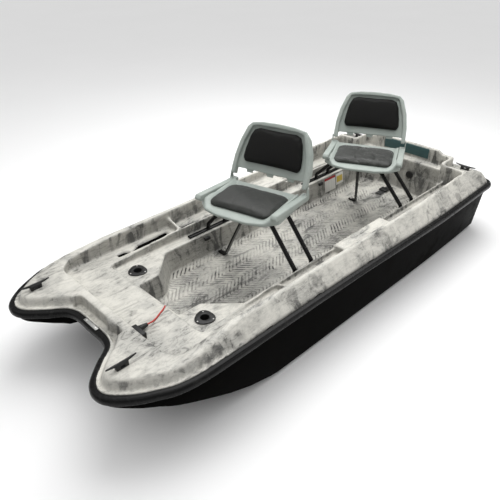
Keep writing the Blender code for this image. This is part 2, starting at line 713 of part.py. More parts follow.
# The trolling motor's lead: its plug stands against the step, the lead lies on the platform
LEAD_RADIUS = 0.004
LEAD_POINTS = [
    (0.188, -1.1700, TRAY_LEVEL + 0.0210), (0.188, -1.158, TRAY_LEVEL + 0.0208),
    (0.184, -1.142, TRAY_LEVEL + 0.0165), (0.175, -1.126, TRAY_LEVEL + 0.0095),
    (0.166, -1.110, TRAY_LEVEL + 0.0050), (0.159, -1.094, TRAY_LEVEL + 0.0044),
    (0.151, -1.078, TRAY_LEVEL + 0.0044), (0.143, -1.062, TRAY_LEVEL + 0.0044),
    (0.136, -1.046, TRAY_LEVEL + 0.0044), (0.127, -1.030, TRAY_LEVEL + 0.0044),
    (0.117, -1.014, TRAY_LEVEL + 0.0044),
]


def make_bow_power():
    level = TRAY_LEVEL + GAP
    plug_x = LEAD_POINTS[0][0]
    socket = box_mesh((plug_x - 0.028, STEP_Y + GAP, level), (plug_x + 0.062, STEP_Y + 0.040, level + 0.036))
    bm = soften(socket, 0.004, 1)
    from_bmesh("bow_socket", bm, "nylon_black")
    start = STEP_Y + 0.040 + GAP
    bm = bmesh.new()
    turn = Matrix.Rotation(math.radians(-90), 4, "X")
    way = Matrix.Translation((plug_x, start + 0.022, level + 0.0207)) @ turn
    bmesh.ops.create_cone(bm, cap_ends=True, segments=12, radius1=0.016, radius2=0.010, depth=0.044,
                          matrix=way)
    from_bmesh("bow_plug", bm, "nylon_black", smooth=True)
    tube("bow_lead", smooth_curve(LEAD_POINTS, 20), LEAD_RADIUS, "wire_red", resolution=2)


# ---------------------------------------------------------------- seats

def make_frame(seat, spec):
    rail_low = LEDGE_LEVEL + GAP
    rail_top = rail_low + FRAME_RAIL_HEIGHT
    plate_low = spec["plate"] - PLATE_SIZE[2]
    knee_z = plate_low - TUBE / 2 - GAP
    for side, word in ((-1, "starboard"), (1, "port")):
        x = side * FRAME_X
        y0, y1 = spec["y"] - FRAME_RAIL_LENGTH / 2, spec["y"] + FRAME_RAIL_LENGTH / 2
        bm = soften(box_mesh((x - FRAME_RAIL_WIDTH / 2, y0, rail_low),
                             (x + FRAME_RAIL_WIDTH / 2, y1, rail_top)), 0.002, 1)
        from_bmesh(f"{seat}_frame_rail_{word}", bm, "frame_black")
    for step, word in ((-0.5, "fore"), (0.5, "aft")):
        y = spec["y"] + step * TUBE_SPACING
        foot = rail_top + GAP
        corners = [(-FRAME_X, y, foot), (-FRAME_X, y, foot + 0.026), (-KNEE_X, y, knee_z),
                   (KNEE_X, y, knee_z), (FRAME_X, y, foot + 0.026), (FRAME_X, y, foot)]
        tube(f"{seat}_frame_tube_{word}", rounded_path(corners, 0.030), TUBE / 2, "frame_black")
    width, depth, thick = PLATE_SIZE
    plate = box_mesh((-width / 2, spec["y"] - depth / 2, plate_low),
                     (width / 2, spec["y"] + depth / 2, spec["plate"]))
    bm = soften(plate, 0.012, 2, vertical_only=True)
    from_bmesh(f"{seat}_frame_plate", bm, "frame_black")
    make_leg(seat, spec, plate_low - GAP)


def make_leg(seat, spec, top):
    """A flat leg bent at its foot, running from under the plate to the floor."""
    foot_x, foot_y = spec["foot"]
    floor = FLOOR_LEVEL + GAP
    start = Vector((-0.055, spec["y"], top))
    bend = Vector((foot_x + FOOT_LENGTH * 0.4, foot_y, floor + LEG_THICK))
    toe = Vector((foot_x - FOOT_LENGTH * 0.6, foot_y, floor))
    half = LEG_WIDTH / 2
    low_bend = Vector((bend.x + 0.004, bend.y, floor))
    path = [(start, Vector((start.x + LEG_THICK, start.y, top))), (bend, low_bend),
            (toe + Vector((0, 0, LEG_THICK)), toe)]
    bm = bmesh.new()
    rows = []
    for upper, lower in path:
        rows.append([bm.verts.new((p.x, p.y + w, p.z)) for p, w in
                     ((upper, -half), (upper, half), (lower, half), (lower, -half))])
    for a, b in zip(rows[:-1], rows[1:]):
        for i in range(4):
            j = (i + 1) % 4
            bm.faces.new((a[i], a[j], b[j], b[i]))
    bm.faces.new(rows[0][::-1])
    bm.faces.new(rows[-1])
    from_bmesh(f"{seat}_frame_leg", bm, "frame_black")


def make_seat(seat, spec):
    swivel = empty(f"{seat}_swivel_axis", (0.0, spec["y"], spec["plate"] + GAP),
                   (0, 0, math.radians(spec["turn"])))
    bm = round_disc((0, 0), SWIVEL_RADIUS, 0.0, SWIVEL_HEIGHT, 24)
    from_bmesh(f"{seat}_swivel", bm, "zinc", parent=swivel, smooth=True)

    base = SWIVEL_HEIGHT + GAP
    hinge_y = SEAT_DEPTH / 2 - spec["forward"]
    front_y = hinge_y - SEAT_DEPTH
    half = SEAT_WIDTH / 2
    inner = half - ARM_WIDTH
    hinge_z = base + HINGE_RISE
    pan_side = [(half - 0.008, hinge_y - 0.035), (half - 0.008, front_y + 0.055),
                (inner - 0.035, front_y - 0.010), (0.09, front_y - 0.035)]
    pan_outline = [(-x, y) for x, y in pan_side] + pan_side[::-1]
    bm = slab(pan_outline, base, base + PAN_THICK)
    pan = from_bmesh(f"{seat}_seat_pan", bm, "seat_shell", parent=swivel)
    for side, word in ((-1, "left"), (1, "right")):
        x0, x1 = sorted((side * inner, side * half))
        arm_top = hinge_z - ARM_DROP
        profile = [(front_y, base + 0.052), (front_y + 0.012, base + 0.040), (hinge_y - 0.030, base + 0.004),
                   (hinge_y + 0.010, base + 0.004), (hinge_y + 0.016, arm_top - 0.012),
                   (hinge_y + 0.014, arm_top), (hinge_y - 0.030, arm_top),
                   (front_y + 0.014, hinge_z + 0.002), (front_y, hinge_z - 0.012)]
        tool = cut(pan, profile_prism(profile, x0, x1), f"arm_{word}", "UNION").object
        tool.parent = swivel
        lug = [(hinge_y - 0.026, arm_top - 0.006), (hinge_y + 0.0135, arm_top - 0.006),
               (hinge_y + 0.013, hinge_z + 0.004), (hinge_y + 0.006, hinge_z + 0.012),
               (hinge_y - 0.006, hinge_z + 0.012), (hinge_y - 0.013, hinge_z + 0.004)]
        x0, x1 = sorted((side * (half - LUG_THICK), side * (half - 0.0005)))
        tool = cut(pan, profile_prism(lug, x0, x1), f"lug_{word}", "UNION").object
        tool.parent = swivel
    cushion_outline = rounded_rectangle(-inner + 0.007, front_y + 0.016, inner - 0.007, hinge_y - 0.075, 0.06)
    low = base + PAN_THICK + GAP
    bm = slab(cushion_outline, low, low + CUSHION_HEIGHT)
    top_edges = [e for e in bm.edges if all(v.co.z > low + CUSHION_HEIGHT - 0.001 for v in e.verts)]
    bmesh.ops.bevel(bm, geom=top_edges, offset=0.016, affect="EDGES", segments=2, profile=0.5, material=-1)
    from_bmesh(f"{seat}_seat_cushion", bm, "vinyl_black", parent=swivel)

    fold = empty(f"{seat}_fold_axis", (0.0, hinge_y, hinge_z), (-BACK_RECLINE, 0, 0), parent=swivel)
    make_back(seat, fold, half)


def rounded_rectangle(x0, y0, x1, y1, radius, steps=3):
    found = []
    for cx, cy, start in ((x1 - radius, y1 - radius, 0), (x0 + radius, y1 - radius, 90),
                          (x0 + radius, y0 + radius, 180), (x1 - radius, y0 + radius, 270)):
        for k in range(steps + 1):
            a = math.radians(start + 90 * k / steps)
            found.append((cx + radius * math.cos(a), cy + radius * math.sin(a)))
    return found


def upright(outline, front, back):
    """A plate whose outline is in (x, z), between two distances along y."""
    bm = slab(outline, -back, -front)
    bmesh.ops.rotate(bm, verts=bm.verts, cent=(0, 0, 0), matrix=Matrix.Rotation(math.radians(90), 3, "X"))
    return bm


def make_back(seat, fold, half):
    clear = half - LUG_THICK - HINGE_SIDE_CLEARANCE
    edge = 0.026
    outer = [(clear, 0.030), (clear - 0.003, 0.100), (clear - 0.020, 0.190), (BACK_TOP_HALF + 0.004, 0.278),
             (BACK_TOP_HALF - 0.022, BACK_HEIGHT - 0.014), (BACK_TOP_HALF * 0.5, BACK_HEIGHT - 0.003)]
    outline = outer + [(0.0, BACK_HEIGHT)] + [(-x, z) for x, z in outer[::-1]]
    bm = upright(outline, -0.004, 0.008)
    shell = from_bmesh(f"{seat}_back_shell", bm, "seat_shell", parent=fold)
    for side, word in ((-1, "left"), (1, "right")):
        rim = [(side * clear, -0.010), (side * clear, 0.040), (side * (clear - 0.003), 0.100),
               (side * (clear - 0.020), 0.190), (side * (BACK_TOP_HALF + 0.004), 0.278),
               (side * (BACK_TOP_HALF + 0.004 - edge), 0.272), (side * (clear - 0.020 - edge), 0.184),
               (side * (clear - 0.003 - edge), 0.096), (side * (clear - edge), 0.040),
               (side * (clear - edge), -0.010)]
        if side < 0:
            rim = rim[::-1]
        tool = cut(shell, upright(rim, -0.026, 0.014), f"rim_{word}", "UNION").object
        tool.parent = fold
        flank = [(side * (clear - 0.001), 0.060), (side * (clear - 0.004), 0.100),
                 (side * (clear - 0.021), 0.190), (side * (BACK_TOP_HALF + 0.003), 0.270),
                 (side * (BACK_TOP_HALF - 0.011), 0.268), (side * (clear - 0.034), 0.188),
                 (side * (clear - 0.017), 0.099), (side * (clear - 0.014), 0.060)]
        if side < 0:
            flank = flank[::-1]
        tool = cut(shell, upright(flank, 0.004, 0.038), f"flank_{word}", "UNION").object
        tool.parent = fold
    for k in (-1, 0, 1):
        tab = box_mesh((k * 0.135 - 0.022, 0.001, 0.012), (k * 0.135 + 0.022, 0.007, 0.034))
        tool = cut(shell, tab, f"tab_{k + 2}", "UNION").object
        tool.parent = fold
    low, high = 0.066, BACK_HEIGHT - 0.030
    side_line = [(0.150, low), (0.180, low + 0.004), (0.196, low + 0.030), (0.192, 0.150),
                 (0.176, 0.230), (0.156, high - 0.018), (0.120, high - 0.003)]
    pad = side_line + [(-x, z) for x, z in side_line[::-1]]
    bm = upright(pad, -0.004 - GAP - BACK_CUSHION_HEIGHT, -0.004 - GAP)
    front = -0.004 - GAP - BACK_CUSHION_HEIGHT
    edges = [e for e in bm.edges if all(v.co.y < front + 0.001 for v in e.verts)]
    bmesh.ops.bevel(bm, geom=edges, offset=0.014, affect="EDGES", segments=2, profile=0.5, material=-1)
    from_bmesh(f"{seat}_back_cushion", bm, "vinyl_black", parent=fold)


def make_clips():
    """Small clips under the starboard ledge's edge, one for each seat frame."""
    for name, y in (("front_ledge_clip", -0.364), ("rear_ledge_clip", 0.770)):
        wall = -WELL_TOP + WELL_DRAFT * (LEDGE_LEVEL - 0.298) / (LEDGE_LEVEL - FLOOR_LEVEL)
        bm = soften(box_mesh((wall + 0.003, y - 0.022, 0.290), (wall + 0.020, y + 0.022, 0.312)), 0.003, 1)
        from_bmesh(name, bm, "nylon_black")


make_hull()
make_liner()
make_rail()
make_bow_plate()
for side, word in ((-1, "starboard"), (1, "port")):
    make_cleat(f"bow_cleat_{word}", (side * BOW_CLEAT[0], BOW_CLEAT[1]), NOSE_DECK)
    make_cleat(f"stern_cleat_{word}", (side * STERN_CLEAT[0], STERN_CLEAT[1]), CORNER_DECK, along_y=False)
    make_cup(f"rod_holder_{word}", side)
make_transom_pieces()
make_battery_strap()
make_labels()
make_bow_power()
make_clips()
for seat, spec in SEATS.items():
    make_frame(seat, spec)
    make_seat(seat, spec)
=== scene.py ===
import math
import bmesh
import bpy
from mathutils import Matrix, Vector, kdtree, noise
from mathutils.bvhtree import BVHTree
import json


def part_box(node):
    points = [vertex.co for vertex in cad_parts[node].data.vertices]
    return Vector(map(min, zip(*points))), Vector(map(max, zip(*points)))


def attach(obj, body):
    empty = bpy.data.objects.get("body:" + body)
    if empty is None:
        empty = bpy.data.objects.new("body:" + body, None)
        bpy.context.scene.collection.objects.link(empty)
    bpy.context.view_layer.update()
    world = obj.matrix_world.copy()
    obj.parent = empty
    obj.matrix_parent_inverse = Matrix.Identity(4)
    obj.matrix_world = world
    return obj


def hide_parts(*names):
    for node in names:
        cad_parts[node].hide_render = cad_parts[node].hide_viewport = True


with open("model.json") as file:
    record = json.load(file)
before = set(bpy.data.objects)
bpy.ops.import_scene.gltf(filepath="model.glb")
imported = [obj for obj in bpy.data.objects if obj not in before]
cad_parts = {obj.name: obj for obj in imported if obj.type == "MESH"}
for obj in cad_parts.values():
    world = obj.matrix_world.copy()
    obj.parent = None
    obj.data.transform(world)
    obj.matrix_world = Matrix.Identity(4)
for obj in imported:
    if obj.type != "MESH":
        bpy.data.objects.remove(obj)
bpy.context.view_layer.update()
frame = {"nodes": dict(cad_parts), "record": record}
nodes = frame["nodes"]

# ---------------------------------------------------------------- camera, floor and light
# The boat stands on a plain pale studio floor under broad, soft lights from above,
# seen from over its port bow.
azimuth, elevation = math.radians(45.175), math.radians(32.351)
looking = Vector((-math.sin(azimuth) * math.cos(elevation), math.cos(azimuth) * math.cos(elevation),
                  -math.sin(elevation)))
camera_data = bpy.data.cameras.new("camera")
camera_data.sensor_width = 36.0
camera_data.lens = 37.81
camera_data.clip_end = 60.0
camera = bpy.data.objects.new("camera", camera_data)
camera.location = (1.877, -2.168, 2.006)
camera.rotation_euler = looking.to_track_quat("-Z", "Y").to_euler()
bpy.context.scene.collection.objects.link(camera)
bpy.context.scene.camera = camera


def studio_light(name, place, aim, size, power):
    lamp = bpy.data.lights.new(name, "AREA")
    lamp.shape = "RECTANGLE"
    lamp.size, lamp.size_y = size
    lamp.energy = power
    holder = bpy.data.objects.new(name, lamp)
    holder.location = place
    holder.rotation_euler = (Vector(aim) - Vector(place)).to_track_quat("-Z", "Y").to_euler()
    bpy.context.scene.collection.objects.link(holder)


studio_light("overhead_light", (-0.5, 0.9, 3.3), (0.0, 0.1, 0.3), (3.0, 4.2), 110)
studio_light("bow_light", (-1.8, -3.4, 2.6), (0.0, -0.2, 0.4), (2.0, 1.6), 9)
studio_light("port_light", (3.4, 0.8, 2.2), (0.0, 0.2, 0.4), (2.6, 1.2), 9)
ceiling = bpy.data.lights.new("ceiling_glow", "SUN")
ceiling.energy = 1.15
ceiling.angle = 1.5
ceiling_holder = bpy.data.objects.new("ceiling_glow", ceiling)
bpy.context.scene.collection.objects.link(ceiling_holder)
world = bpy.data.worlds.new("studio")
world.use_nodes = True
world.node_tree.nodes["Background"].inputs["Color"].default_value = (1.0, 1.0, 1.0, 1.0)
world.node_tree.nodes["Background"].inputs["Strength"].default_value = 0.40
bpy.context.scene.world = world
bpy.context.scene.view_settings.view_transform = "Standard"


class Amount:
    """A value inside a finish, so that its arithmetic reads as plain sums."""

    def __init__(self, finish, socket):
        self.finish, self.socket = finish, socket

    def sum(self, operation, *values):
        return self.finish.node("ShaderNodeMath", {"operation": operation}, dict(enumerate(values)))

    def __add__(self, other): return self.sum("ADD", self, other)
    def __radd__(self, other): return self.sum("ADD", other, self)
    def __sub__(self, other): return self.sum("SUBTRACT", self, other)
    def __rsub__(self, other): return self.sum("SUBTRACT", other, self)
    def __mul__(self, other): return self.sum("MULTIPLY", self, other)
    def __rmul__(self, other): return self.sum("MULTIPLY", other, self)
    def __truediv__(self, other): return self.sum("DIVIDE", self, other)
    def __rtruediv__(self, other): return self.sum("DIVIDE", other, self)
    def __pow__(self, other): return self.sum("POWER", self, other)
    def __abs__(self): return self.sum("ABSOLUTE", self)

    def wave(self): return self.sum("SINE", self)
    def zigzag(self, half): return self.sum("PINGPONG", self, half)

    def rise(self, low, high):
        """0 below low, 1 above high, and smooth between."""
        return self.finish.node("ShaderNodeMapRange", {"interpolation_type": "SMOOTHSTEP"},
                                {"Value": self, "From Min": low, "From Max": high})


class Finish:
    """One procedural finish and its nodes."""

    def __init__(self, name, roughness=0.5, metallic=0.0, coat=0.0, coat_roughness=0.2, specular=0.5,
                 sheen=0.0):
        self.material = bpy.data.materials.new(name)
        self.material.use_nodes = True
        self.tree = self.material.node_tree
        self.shader = self.tree.nodes["Principled BSDF"]
        for word, value in (("Roughness", roughness), ("Metallic", metallic), ("Coat Weight", coat),
                            ("Coat Roughness", coat_roughness), ("Specular IOR Level", specular),
                            ("Sheen Weight", sheen)):
            self.shader.inputs[word].default_value = value
        self.place = self.node("ShaderNodeTexCoord", {}, {}, "Object")

    def node(self, kind, settings, inputs, out=0):
        made = self.tree.nodes.new(kind)
        for word, value in settings.items():
            if word == "stops":
                for extra in value[2:]:
                    made.color_ramp.elements.new(extra[0])
                for stop, (spot, shade) in zip(made.color_ramp.elements, value):
                    stop.position, stop.color = spot, (*shade, 1.0)
            else:
                setattr(made, word, value)
        for word, value in inputs.items():
            if isinstance(value, Amount):
                self.tree.links.new(value.socket, made.inputs[word])
            else:
                made.inputs[word].default_value = value
        return Amount(self, made.outputs[out])

    def axes(self, source=None):
        source = self.place if source is None else source
        return [self.node("ShaderNodeSeparateXYZ", {}, {0: source}, k) for k in range(3)]

    def moved(self, scale=(1, 1, 1), turn=(0, 0, 0), shift=(0, 0, 0)):
        return self.node("ShaderNodeMapping", {}, {"Vector": self.place, "Scale": scale, "Rotation": turn,
                                                   "Location": shift})

    def cloud(self, scale, detail=3.0, rough=0.5, distort=0.0, scale_by=(1, 1, 1), turn=(0, 0, 0),
              shift=(0, 0, 0)):
        place = self.moved(scale_by, turn, shift)
        return self.node("ShaderNodeTexNoise", {}, {"Vector": place, "Scale": scale, "Detail": detail,
                                                    "Roughness": rough, "Distortion": distort})

    def mix(self, share, low, high):
        pair = [(*c, 1.0) if isinstance(c, tuple) else c for c in (low, high)]
        return self.node("ShaderNodeMix", {"data_type": "RGBA"}, {0: share, 6: pair[0], 7: pair[1]}, 2)

    def normal(self):
        return self.node("ShaderNodeNewGeometry", {}, {}, "Normal")

    def paint(self, word, value):
        self.tree.links.new(value.socket, self.shader.inputs[word])

    def relief(self, height, distance, strength=1.0):
        bump = self.node("ShaderNodeBump", {}, {"Height": height, "Distance": distance, "Strength": strength})
        self.paint("Normal", bump)


floor_finish = Finish("studio_floor", roughness=0.85, specular=0.2)
floor_tone = floor_finish.mix(floor_finish.cloud(0.8), (0.90, 0.90, 0.90), (0.93, 0.93, 0.93))
floor_finish.paint("Base Color", floor_tone)
floor_bm = bmesh.new()
bmesh.ops.create_grid(floor_bm, x_segments=1, y_segments=1, size=22.0)
floor_mesh = bpy.data.meshes.new("studio_floor")
floor_bm.to_mesh(floor_mesh)
floor_mesh.materials.append(floor_finish.material)
studio_floor = bpy.data.objects.new("studio_floor", floor_mesh)
bpy.context.scene.collection.objects.link(studio_floor)

# ---------------------------------------------------------------- bow power lead
# A short red battery lead of soft PVC, 8 mm thick, that leaves the plug on the bow platform
# and lies along it. A crimped ring terminal closes its end.
tray_level = 0.367
lead_route = [
    (0.188, -1.1700, tray_level + 0.0210), (0.188, -1.158, tray_level + 0.0208),
    (0.184, -1.142, tray_level + 0.0165), (0.175, -1.126, tray_level + 0.0095),
    (0.166, -1.110, tray_level + 0.0050), (0.159, -1.094, tray_level + 0.0044),
    (0.151, -1.078, tray_level + 0.0044), (0.143, -1.062, tray_level + 0.0044),
    (0.136, -1.046, tray_level + 0.0044), (0.127, -1.030, tray_level + 0.0044),
    (0.117, -1.014, tray_level + 0.0044),
]
red_pvc = Finish("red_pvc", roughness=0.38)
red_pvc.paint("Base Color", red_pvc.mix(red_pvc.cloud(90), (0.36, 0.016, 0.012), (0.52, 0.035, 0.022)))
red_pvc.relief(red_pvc.cloud(500), 0.0002)


def add(name, bm, finish, body="hull", stands_for=(), sharp=40.0):
    """A finished piece: faces smooth, edges over the given angle kept sharp, riding on a body."""
    mesh = bpy.data.meshes.new(name)
    for face in bm.faces:
        face.smooth = True
    bm.to_mesh(mesh)
    bm.free()
    mesh.set_sharp_from_angle(angle=math.radians(sharp))
    mesh.materials.append(finish.material)
    piece = bpy.data.objects.new(name, mesh)
    bpy.context.scene.collection.objects.link(piece)
    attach(piece, body)
    if stands_for:
        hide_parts(*stands_for)
    return piece


curve = bpy.data.curves.new("power_lead", "CURVE")
curve.dimensions = "3D"
curve.bevel_depth = 0.004
curve.bevel_resolution = 4
curve.use_fill_caps = True
spline = curve.splines.new("BEZIER")
spline.bezier_points.add(len(lead_route) - 1)
for point, co in zip(spline.bezier_points, lead_route):
    point.co = co
    point.handle_left_type = point.handle_right_type = "AUTO"
curve.materials.append(red_pvc.material)
power_lead = bpy.data.objects.new("power_lead", curve)
bpy.context.scene.collection.objects.link(power_lead)
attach(power_lead, "hull")
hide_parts("bow_lead")


def cad_copy(node):
    """A merged copy of a CAD node's mesh, to shape further."""
    bm = bmesh.new()
    bm.from_mesh(nodes[node].data)
    bmesh.ops.remove_doubles(bm, verts=bm.verts, dist=1e-5)
    return bm


def softened(node, width, angle=25.0, segments=2):
    """A CAD copy whose sharp edges are rounded."""
    bm = cad_copy(node)
    bmesh.ops.dissolve_limit(bm, angle_limit=math.radians(0.6), verts=bm.verts, edges=bm.edges)
    edges = [e for e in bm.edges if len(e.link_faces) == 2 and e.calc_face_angle(0.0) > math.radians(angle)]
    bmesh.ops.bevel(bm, geom=edges, offset=width, offset_type="OFFSET", affect="EDGES", segments=segments,
                    profile=0.5, material=-1, clamp_overlap=True)
    return bm


black_nylon = Finish("black_nylon", roughness=0.42, specular=0.38)
grain = black_nylon.cloud(700)
nylon_tone = black_nylon.mix(black_nylon.cloud(30, 4), (0.0045, 0.0045, 0.0045), (0.0100, 0.0100, 0.0095))
black_nylon.paint("Base Color", nylon_tone)
black_nylon.paint("Roughness", 0.36 + black_nylon.cloud(60) * 0.16)
black_nylon.relief(grain, 0.00025)

plug = add("power_plug", softened("bow_plug", 0.0015, 40), black_nylon, stands_for=("bow_plug",))

zinc = Finish("zinc_plate", roughness=0.3, metallic=1.0)
zinc.paint("Base Color", zinc.mix(zinc.cloud(160, 4), (0.42, 0.42, 0.40), (0.62, 0.61, 0.58)))
zinc.paint("Roughness", 0.26 + zinc.cloud(240) * 0.22)
end, before = Vector(lead_route[-1]), Vector(lead_route[-2])
way = (end - before).normalized()
bm = bmesh.new()
along_lead = way.to_track_quat("Z", "Y").to_matrix().to_4x4()
bmesh.ops.create_cone(bm, cap_ends=True, segments=16, radius1=0.0042, radius2=0.0036, depth=0.010,
                      matrix=Matrix.Translation(end + way * 0.0035) @ along_lead)
terminal = add("ring_terminal", bm, zinc)

# ---------------------------------------------------------------- twin hull
# The hull is rotomoulded black polyethylene: two pontoons with a tunnel between them, a faint
# orange-peel skin, and dull scuffs along the chines where it is dragged ashore.
hull_black = Finish("hull_polyethylene", roughness=0.5, specular=0.008)
scuff = hull_black.cloud(9, 6, 0.62, 0.4).rise(0.48, 0.72)
hull_black.paint("Base Color", hull_black.mix(scuff, (0.0014, 0.0013, 0.0011), (0.0040, 0.0036, 0.0031)))
hull_black.paint("Roughness", 0.34 + scuff * 0.18 + hull_black.cloud(55) * 0.08)
skin = hull_black.cloud(260, 2) * 0.35 + hull_black.cloud(11, 2)
hull_black.relief(skin, 0.0012, 0.6)
add("pontoon_hull", softened("hull_shell", 0.007, 24, 3), hull_black, stands_for=("hull_shell",), sharp=50)

# ---------------------------------------------------------------- deck liner
# The deck is a rotomoulded liner of pale polyethylene, marbled with smoky grey streaks. Its corners
# are all softly rounded, and its cockpit floor carries a herringbone tread. Its upright walls, the
# bottoms of its rod troughs and its tread's grooves are painted darker, as painted shade.
deck_voxel = 0.0086


def remeshed(bm, voxel):
    """The same solid in an even skin of small faces."""
    mesh = bpy.data.meshes.new("skin")
    bm.to_mesh(mesh)
    bm.free()
    holder = bpy.data.objects.new("skin", mesh)
    bpy.context.scene.collection.objects.link(holder)
    modifier = holder.modifiers.new("skin", "REMESH")
    modifier.mode = "VOXEL"
    modifier.voxel_size = voxel
    evaluated = holder.evaluated_get(bpy.context.evaluated_depsgraph_get())
    made = bmesh.new()
    made.from_mesh(evaluated.to_mesh())
    evaluated.to_mesh_clear()
    bpy.data.objects.remove(holder)
    return made


def relax(bm, verts, times, share=0.5):
    """The given points drawn towards their neighbours, which rounds corners and edges."""
    for _ in range(times):
        bmesh.ops.smooth_vert(bm, verts=verts, factor=share, use_axis_x=True, use_axis_y=True,
                              use_axis_z=True)


def step(value, low, high):
    """0 below low, 1 above high, and smooth between."""
    t = min(max((value - low) / (high - low), 0.0), 1.0)
    return t * t * (3 - 2 * t)


# Which of the liner's faces the open air reaches: the rest lies between the two skins.
liner = cad_copy("deck_liner")
shells = [cad_copy(n) for n in ("deck_liner", "hull_shell", "rub_rail")]
points, triangles = [], []
for shell in shells:
    start = len(points)
    points += [v.co.copy() for v in shell.verts]
    triangles += [[start + v.index for v in f.verts] for f in shell.faces]
    shell.free()
walls = BVHTree.FromPolygons(points, triangles)
directions = [Vector((math.cos(a) * math.cos(e), math.sin(a) * math.cos(e), math.sin(e)))
              for e in (0.12, 0.6, 1.1) for a in [k * math.pi / 4 + e for k in range(8)]]
directions.append(Vector((0, 0, 1)))
open_air = []
for face in liner.faces:
    middle = face.calc_center_median()
    spots = [middle] + [middle.lerp(v.co, 0.85) for v in face.verts]
    seen = False
    for spot in spots:
        start = spot + face.normal * 0.0006
        if any(d.dot(face.normal) > 0.05 and walls.ray_cast(start, d)[0] is None for d in directions):
            seen = True
            break
    open_air.append(seen)
liner.faces.ensure_lookup_table()
liner_tree = BVHTree.FromBMesh(liner)
deck = remeshed(liner, deck_voxel)
hidden = set()
for v in deck.verts:
    index = liner_tree.find_nearest(v.co)[2]
    if not open_air[index]:
        hidden.add(v)
bmesh.ops.delete(deck, geom=[f for f in deck.faces if all(v in hidden for v in f.verts)], context="FACES")
relax(deck, deck.verts, 4)

# The outer edges of the rod troughs in the side trays, as places along the boat and distances out.
trough_inner = 0.430
trough_depth = 0.018
wavy_edge = [(-0.93, 0.479), (-0.873, 0.478), (-0.838, 0.445), (-0.80, 0.470), (-0.766, 0.486),
             (-0.548, 0.494)]
aft_edge = [(-0.473, 0.484), (-0.36, 0.476), (-0.30, 0.459), (-0.25, 0.474), (-0.167, 0.459)]
straight_edge = [(-0.93, 0.488), (-0.548, 0.492)]
straight_aft = [(-0.470, 0.484), (-0.10, 0.480)]
stern_edge = [(0.50, 0.474), (1.20, 0.470)]


def edge_at(edge, y):
    """How far out an edge lies at a place along the boat, or None past its ends."""
    for (y0, x0), (y1, x1) in zip(edge, edge[1:]):
        if y0 <= y <= y1:
            return x0 + (x1 - x0) * (y - y0) / (y1 - y0)
    return None


def trough(x, y, edge, inner, depth):
    """How far a rod trough in the side tray sinks at a point."""
    outer = edge_at(edge, y)
    if outer is None:
        return 0.0
    ends = step(y, edge[0][0], edge[0][0] + 0.014) * (1 - step(y, edge[-1][0] - 0.014, edge[-1][0]))
    return depth * ends * step(x, inner, inner + 0.008) * (1 - step(x, outer - 0.008, outer))


deck.normal_update()
for v in deck.verts:
    x, y, z = v.co
    if v.normal.z > 0.7 and 0.355 < z < 0.412 and 0.42 < abs(x) < 0.50:
        edges = (wavy_edge, aft_edge) if x < 0 else (straight_edge, straight_aft)
        for edge in edges + (stern_edge,):
            v.co.z -= trough(abs(x), y, edge, trough_inner, trough_depth)

# A flat flange a finger wide runs inside the rail round the nose before the deck rises from it.
rail_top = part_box("rub_rail")[1][2]
rail = cad_copy("rub_rail")
inner_edge = [v.co.xy.to_3d() for v in rail.verts if v.co.z > rail_top - 0.0006 and v.co.y < -0.7]
rail.free()
edge_tree = kdtree.KDTree(len(inner_edge))
for number, spot in enumerate(inner_edge):
    edge_tree.insert(spot, number)
edge_tree.balance()
for v in deck.verts:
    x, y, z = v.co
    if y < -0.75 and rail_top < z < 0.45 and v.normal.z > 0.15:
        away = edge_tree.find(Vector((x, y, 0)))[2]
        if away < 0.060:
            ahead = 1 - step(y, -1.05, -0.75)
            share = 1 - (1 - step(away, 0.012, 0.046)) * ahead
            dip = 0.004 * step(away, 0.008, 0.016) * (1 - step(away, 0.020, 0.030)) * ahead
            v.co.z = rail_top + 0.003 + (z - rail_top - 0.003) * share - dip

marbled = Finish("marbled_polyethylene", roughness=0.5, specular=0.4)
x, y, z = marbled.axes()
nz = marbled.axes(marbled.normal())[2]
lying = nz.rise(0.45, 0.85)
floor_part = (1 - z.rise(0.186, 0.196)) * lying
streaks = marbled.cloud(17, 6, 0.64, 1.1, (1.0, 0.36, 1.4), (0, 0, 0.35)).rise(0.50, 0.66)
drips = marbled.cloud(17, 6, 0.60, 1.0, (1.0, 1.0, 0.30), (0.45, 0, 0)).rise(0.47, 0.62)
flow = marbled.cloud(30, 5, 0.60, 1.2, (1.0, 0.30, 1.4), (0.1, 0, 0.25))
thread = 1 - abs(flow - 0.5).rise(0.0, 0.035)
wisps = marbled.cloud(52, 6, 0.66, 0.8, (1.0, 0.30, 1.5), (0.2, 0, -0.25)).rise(0.48, 0.70)
smoke = marbled.cloud(4.5, 4, 0.55, 0.5).rise(0.36, 0.68)
along = streaks * lying + drips * (1 - lying)
# On upright faces the marks are painted heavier, which is partly the marbling and partly painted shade on the
# walls.
marks = (along * (0.24 + smoke * (0.66 + (1 - lying) * 0.40)) + wisps * (0.16 + smoke * 0.26)
         + thread * (0.12 + smoke * 0.30))
broken = marbled.cloud(15, 5, 0.66, 0.9, (0.8, 0.6, 1.0), (0, 0, 0.8)).rise(0.38, 0.60)
bent = marbled.cloud(7, 3, 0.6) * 0.034
chevron = (y + bent + x.zigzag(0.086)) * (2 * math.pi / 0.030)
groove = chevron.wave().rise(-0.15, 0.98) * floor_part
pale = marbled.mix(smoke, (0.62, 0.605, 0.550), (0.43, 0.423, 0.390))
veined = marbled.mix(marks, pale, (0.085, 0.084, 0.079))
sooty = marbled.cloud(5.5, 4, 0.62, 0.7, (1.0, 0.7, 1.0), (0, 0, 0.6)).rise(0.46, 0.62) * floor_part
# Painted shade: the tread's grooves are painted dark, broken by noise and deepest where the sooty dirt
# patches lie; the patches also darken the floor on their own.
treaded = marbled.mix(groove * broken * (0.50 + sooty * 0.45) + sooty * 0.22, veined, (0.050, 0.049, 0.046))
